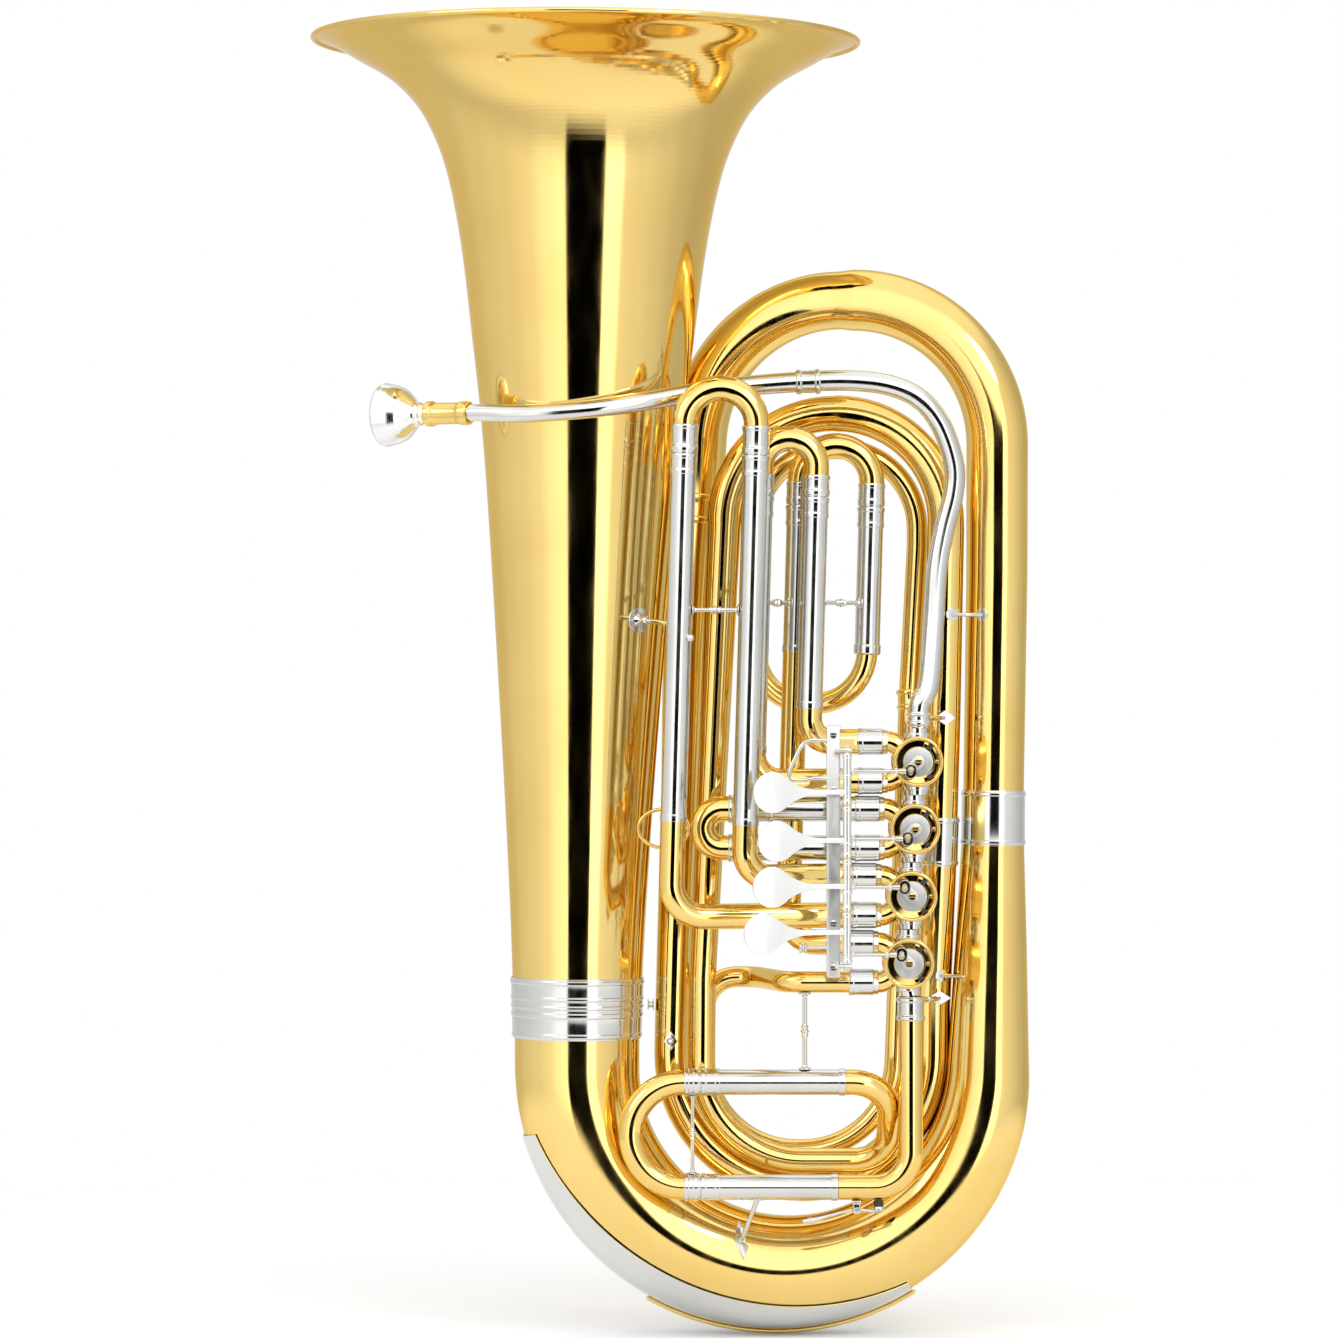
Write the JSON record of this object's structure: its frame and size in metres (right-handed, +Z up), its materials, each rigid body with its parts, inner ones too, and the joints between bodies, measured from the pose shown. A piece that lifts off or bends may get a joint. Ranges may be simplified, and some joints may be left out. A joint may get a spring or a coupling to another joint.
{
  "type": "tuba",
  "caption": "Rotary tuba with an upright bell, front paddle levers, pull-out slides, a water key and a removable mouthpiece.",
  "frame": {"origin": "the lowest point of the guard rail under the bottom bow, where the tuba rests on the player's lap or chair", "axes": "+Z is up along the bell, -Y is the front with the levers, +X points from the bell to the outer riser"},
  "size_m": [0.5276, 0.404, 0.9531],
  "materials": {
    "lacquered_brass": "polished and lacquered yellow brass",
    "nickel_silver": "polished nickel silver",
    "silver_plate": "bright silver plate",
    "cork": "black synthetic cork"
  },
  "bodies": {
    "tuba_body": {"bell": "lacquered_brass", "bell_ferrule": "nickel_silver", "bell_stay": "nickel_silver", "bottom_bow": "lacquered_brass", "bow_guard": "nickel_silver", "fourth_loop_lower": "lacquered_brass", "fourth_loop_upper": "lacquered_brass", "guard_rail": "lacquered_brass", "leadpipe": "nickel_silver", "lever_axle": "nickel_silver", "lever_rail": "nickel_silver", "main_slide_lower_tube": "nickel_silver", "main_slide_stay": "nickel_silver", "main_slide_upper_tube": "nickel_silver", "mouthpiece_receiver": "lacquered_brass", "outer_branch": "lacquered_brass", "riser_ferrule": "nickel_silver", "second_bow": "lacquered_brass", "second_branch": "lacquered_brass", "second_ferrule": "nickel_silver", "slide_1_lower_tube": "lacquered_brass", "slide_1_upper_tube": "lacquered_brass", "slide_2_lower_tube": "nickel_silver", "slide_2_upper_tube": "nickel_silver", "slide_3_lower_tube": "lacquered_brass", "slide_3_upper_tube": "lacquered_brass", "slide_4_lower_tube": "nickel_silver", "slide_4_upper_tube": "lacquered_brass", "valve_back_cap_1": "lacquered_brass", "valve_back_cap_2": "lacquered_brass", "valve_back_cap_3": "lacquered_brass", "valve_back_cap_4": "lacquered_brass", "valve_casing_1": "lacquered_brass", "valve_casing_2": "lacquered_brass", "valve_casing_3": "lacquered_brass", "valve_casing_4": "lacquered_brass", "valve_outlet_tube": "lacquered_brass", "water_key_saddle": "nickel_silver"},
    "lever_1_body": {"lever_1": "silver_plate"},
    "link_1_body": {"link_1": "nickel_silver"},
    "rotor_1_body": {"valve_rotor_1": "nickel_silver"},
    "lever_2_body": {"lever_2": "silver_plate"},
    "link_2_body": {"link_2": "nickel_silver"},
    "rotor_2_body": {"valve_rotor_2": "nickel_silver"},
    "lever_3_body": {"lever_3": "silver_plate"},
    "link_3_body": {"link_3": "nickel_silver"},
    "rotor_3_body": {"valve_rotor_3": "nickel_silver"},
    "lever_4_body": {"lever_4": "silver_plate"},
    "link_4_body": {"link_4": "nickel_silver"},
    "rotor_4_body": {"valve_rotor_4": "nickel_silver"},
    "slide_1_body": {"slide_1_bow": "lacquered_brass"},
    "slide_2_body": {"slide_2_bow": "lacquered_brass", "slide_2_pull_ring": "lacquered_brass"},
    "slide_3_body": {"slide_3_bow": "lacquered_brass"},
    "slide_4_body": {"slide_4_bow": "lacquered_brass"},
    "main_slide_body": {"main_slide_bow": "lacquered_brass"},
    "mouthpiece_body": {"mouthpiece": "silver_plate"},
    "water_key_body": {"water_key": "nickel_silver"}
  },
  "joints": [
    {"name": "lever_1_press", "type": "hinge", "parent": "tuba_body", "child": "lever_1_body", "pos_m": [0.0495, -0.1059, 0.41417], "axis": [0, 0, -1], "range_deg": [0, 25.1], "stiffness_Nm_per_rad": 0.2, "springref_deg": -34.38},
    {"name": "link_1_swivel", "type": "hinge", "parent": "lever_1_body", "child": "link_1_body", "pos_m": [0.04384, -0.08052, 0.41417], "axis": [0, 0, -1], "range_deg": [-26, 0]},
    {"name": "rotor_1_turn", "type": "hinge", "parent": "tuba_body", "child": "rotor_1_body", "pos_m": [0.1019, -0.055, 0.421], "axis": [0, 1, 0], "range_deg": [-90, 0]},
    {"name": "lever_2_press", "type": "hinge", "parent": "tuba_body", "child": "lever_2_body", "pos_m": [0.0495, -0.1059, 0.36557], "axis": [0, 0, -1], "range_deg": [0, 25.1], "stiffness_Nm_per_rad": 0.2, "springref_deg": -34.38},
    {"name": "link_2_swivel", "type": "hinge", "parent": "lever_2_body", "child": "link_2_body", "pos_m": [0.04384, -0.08052, 0.36557], "axis": [0, 0, -1], "range_deg": [-26, 0]},
    {"name": "rotor_2_turn", "type": "hinge", "parent": "tuba_body", "child": "rotor_2_body", "pos_m": [0.0997, -0.055, 0.3724], "axis": [0, 1, 0], "range_deg": [-90, 0]},
    {"name": "lever_3_press", "type": "hinge", "parent": "tuba_body", "child": "lever_3_body", "pos_m": [0.0495, -0.1059, 0.33063], "axis": [0, 0, -1], "range_deg": [0, 25.1], "stiffness_Nm_per_rad": 0.2, "springref_deg": -34.38},
    {"name": "link_3_swivel", "type": "hinge", "parent": "lever_3_body", "child": "link_3_body", "pos_m": [0.04384, -0.08052, 0.33063], "axis": [0, 0, -1], "range_deg": [-26, 0]},
    {"name": "rotor_3_turn", "type": "hinge", "parent": "tuba_body", "child": "rotor_3_body", "pos_m": [0.0975, -0.055, 0.3238], "axis": [0, 1, 0], "range_deg": [0, 90]},
    {"name": "lever_4_press", "type": "hinge", "parent": "tuba_body", "child": "lever_4_body", "pos_m": [0.0495, -0.1059, 0.28203], "axis": [0, 0, -1], "range_deg": [0, 25.1], "stiffness_Nm_per_rad": 0.2, "springref_deg": -34.38},
    {"name": "link_4_swivel", "type": "hinge", "parent": "lever_4_body", "child": "link_4_body", "pos_m": [0.04384, -0.08052, 0.28203], "axis": [0, 0, -1], "range_deg": [-26, 0]},
    {"name": "rotor_4_turn", "type": "hinge", "parent": "tuba_body", "child": "rotor_4_body", "pos_m": [0.0953, -0.055, 0.2752], "axis": [0, 1, 0], "range_deg": [0, 90]},
    {"name": "slide_1_pull", "type": "slide", "parent": "tuba_body", "child": "slide_1_body", "axis": [0.0279, 0, 0.9996], "range_m": [0, 0.05]},
    {"name": "slide_2_pull", "type": "slide", "parent": "tuba_body", "child": "slide_2_body", "axis": [-1, 0, 0], "range_m": [0, 0.045]},
    {"name": "slide_3_pull", "type": "slide", "parent": "tuba_body", "child": "slide_3_body", "axis": [0.0279, 0, 0.9996], "range_m": [0, 0.08]},
    {"name": "slide_4_pull", "type": "slide", "parent": "tuba_body", "child": "slide_4_body", "axis": [0.0279, 0, 0.9996], "range_m": [0, 0.06]},
    {"name": "main_slide_pull", "type": "slide", "parent": "tuba_body", "child": "main_slide_body", "axis": [-1, 0, 0], "range_m": [0, 0.06]},
    {"name": "mouthpiece_pull", "type": "slide", "parent": "tuba_body", "child": "mouthpiece_body", "axis": [-0.8829, 0.4695, 0], "range_m": [0, 0.05]},
    {"name": "water_key_tip", "type": "hinge", "parent": "tuba_body", "child": "water_key_body", "pos_m": [0.058, -0.055, 0.096], "axis": [0, 1, 0], "range_deg": [0, 15], "stiffness_Nm_per_rad": 0.02, "springref_deg": -34.38}
  ],
  "couplings": [
    {"joint": "rotor_1_turn", "follows": "lever_1_press", "ratio": -3.58},
    {"joint": "link_1_swivel", "follows": "lever_1_press", "ratio": -1},
    {"joint": "rotor_2_turn", "follows": "lever_2_press", "ratio": -3.58},
    {"joint": "link_2_swivel", "follows": "lever_2_press", "ratio": -1},
    {"joint": "rotor_3_turn", "follows": "lever_3_press", "ratio": 3.58},
    {"joint": "link_3_swivel", "follows": "lever_3_press", "ratio": -1},
    {"joint": "rotor_4_turn", "follows": "lever_4_press", "ratio": 3.58},
    {"joint": "link_4_swivel", "follows": "lever_4_press", "ratio": -1}
  ]
}
